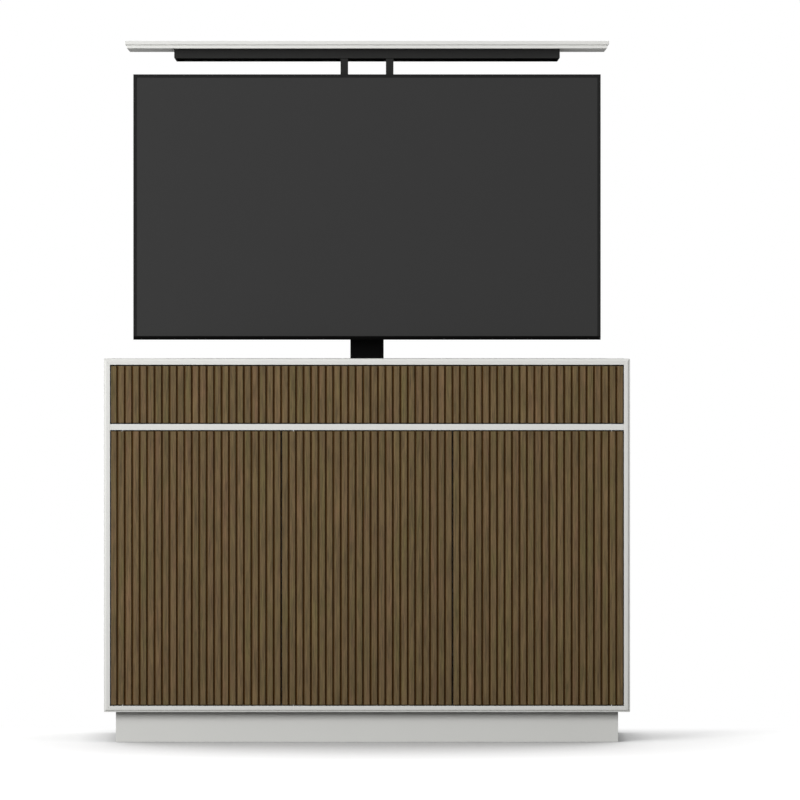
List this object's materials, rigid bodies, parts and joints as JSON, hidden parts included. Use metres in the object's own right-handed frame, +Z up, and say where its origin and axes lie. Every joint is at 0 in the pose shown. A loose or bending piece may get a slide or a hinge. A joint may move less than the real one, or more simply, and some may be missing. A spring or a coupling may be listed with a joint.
{
  "type": "tv lift cabinet",
  "caption": "Free-standing white cabinet with slatted brown wood fronts and a motor lift that raises a flat screen and its lid out of the top.",
  "frame": {"origin": "on the floor, under the middle of the cabinet", "axes": "+Z up, front towards -Y, +X to the right as seen from the front; the lift is raised at rest"},
  "size_m": [1.37, 0.45, 1.8376],
  "materials": {
    "lacquered_board": "satin off-white lacquer on board",
    "slat_wood": "matt brown oak, straight upright grain",
    "backing_wood": "matt dark stained veneer",
    "black_steel": "fine black powder coat, black oxide on the hinge",
    "zinc_steel": "zinc plated",
    "black_plastic": "fine grained black",
    "pale_plastic": "natural acetal",
    "screen_face": "dark, low gloss display face"
  },
  "bodies": {
    "cabinet": {"left_side": "lacquered_board", "right_side": "lacquered_board", "top_board": "lacquered_board", "bottom_board": "lacquered_board", "middle_rail": "lacquered_board", "back_panel": "lacquered_board", "bay_partition": "lacquered_board", "left_divider": "lacquered_board", "right_divider": "lacquered_board", "left_shelf": "lacquered_board", "middle_shelf": "lacquered_board", "right_shelf": "lacquered_board", "plinth_front": "lacquered_board", "plinth_rear": "lacquered_board", "plinth_left": "lacquered_board", "plinth_right": "lacquered_board", "lift_base_plate": "black_steel", "lift_gearmotor": "black_steel", "lift_outer_tube": "black_steel", "flap_hinge_fixed_leaf": "black_steel", "flap_hinge_pin": "black_steel", "shelf_supports": "zinc_steel", "pivot_plates": "zinc_steel", "cable_grommet": "black_plastic", "lift_control_box": "black_plastic", "lift_power_inlet": "black_plastic", "levelling_feet": "black_plastic", "latch_housings": "black_plastic", "outer_tube_glides": "pale_plastic"},
    "left_door": {"left_door_backing": "backing_wood", "left_door_slats": "slat_wood", "left_door_pivot_bushes": "zinc_steel"},
    "middle_door": {"middle_door_backing": "backing_wood", "middle_door_slats": "slat_wood", "middle_door_pivot_bushes": "zinc_steel"},
    "right_door": {"right_door_backing": "backing_wood", "right_door_slats": "slat_wood", "right_door_pivot_bushes": "zinc_steel"},
    "flap": {"flap_backing": "backing_wood", "flap_slats": "slat_wood", "flap_hinge_leaf": "black_steel"},
    "left_door_latch": {"left_door_plunger": "black_plastic"},
    "middle_door_latch": {"middle_door_plunger": "black_plastic"},
    "right_door_latch": {"right_door_plunger": "black_plastic"},
    "flap_left_latch": {"flap_left_plunger": "black_plastic"},
    "flap_right_latch": {"flap_right_plunger": "black_plastic"},
    "middle_stage": {"lift_middle_tube": "black_steel", "spindle_nut": "pale_plastic", "middle_tube_glides": "pale_plastic"},
    "spindle": {"lift_spindle": "zinc_steel"},
    "screen_carriage": {"lift_inner_tube": "black_steel", "tv_mast": "black_steel", "tv_mount_plate": "black_steel", "tv_mount_rails": "black_steel", "tv_rear_cover": "black_plastic", "tv_bezel": "black_plastic", "tv_screen": "screen_face", "lid_uprights": "black_steel", "lid_tray": "black_steel", "lid_board": "lacquered_board"}
  },
  "joints": [
    {"name": "lift", "type": "slide", "parent": "cabinet", "child": "screen_carriage", "axis": [0, 0, 1], "range_m": [-0.8268, 0]},
    {"name": "middle_stage_lift", "type": "slide", "parent": "cabinet", "child": "middle_stage", "axis": [0, 0, 1], "range_m": [-0.4134, 0]},
    {"name": "spindle_spin", "type": "hinge", "parent": "cabinet", "child": "spindle", "pos_m": [0, 0.086, 0.142], "axis": [0, 0, 1], "range_deg": [0, 7444]},
    {"name": "left_door_hinge", "type": "hinge", "parent": "cabinet", "child": "left_door", "pos_m": [-0.637, -0.2145, 0.455], "axis": [0, 0, -1], "range_deg": [0, 100]},
    {"name": "middle_door_hinge", "type": "hinge", "parent": "cabinet", "child": "middle_door", "pos_m": [-0.1915, -0.2145, 0.455], "axis": [0, 0, -1], "range_deg": [0, 100]},
    {"name": "right_door_hinge", "type": "hinge", "parent": "cabinet", "child": "right_door", "pos_m": [0.637, -0.2145, 0.455], "axis": [0, 0, 1], "range_deg": [0, 100]},
    {"name": "flap_hinge", "type": "hinge", "parent": "cabinet", "child": "flap", "pos_m": [0, -0.2236, 0.8315], "axis": [1, 0, 0], "range_deg": [0, 90]},
    {"name": "left_door_push", "type": "slide", "parent": "cabinet", "child": "left_door_latch", "axis": [0, 1, 0], "range_m": [0, 0.003], "stiffness_N_per_m": 500},
    {"name": "middle_door_push", "type": "slide", "parent": "cabinet", "child": "middle_door_latch", "axis": [0, 1, 0], "range_m": [0, 0.003], "stiffness_N_per_m": 500},
    {"name": "right_door_push", "type": "slide", "parent": "cabinet", "child": "right_door_latch", "axis": [0, 1, 0], "range_m": [0, 0.003], "stiffness_N_per_m": 500},
    {"name": "flap_left_push", "type": "slide", "parent": "cabinet", "child": "flap_left_latch", "axis": [0, 1, 0], "range_m": [0, 0.003], "stiffness_N_per_m": 500},
    {"name": "flap_right_push", "type": "slide", "parent": "cabinet", "child": "flap_right_latch", "axis": [0, 1, 0], "range_m": [0, 0.003], "stiffness_N_per_m": 500}
  ],
  "couplings": [
    {"joint": "middle_stage_lift", "follows": "lift", "ratio": 0.5},
    {"joint": "spindle_spin", "follows": "lift", "rad_per_m": -157.08}
  ]
}
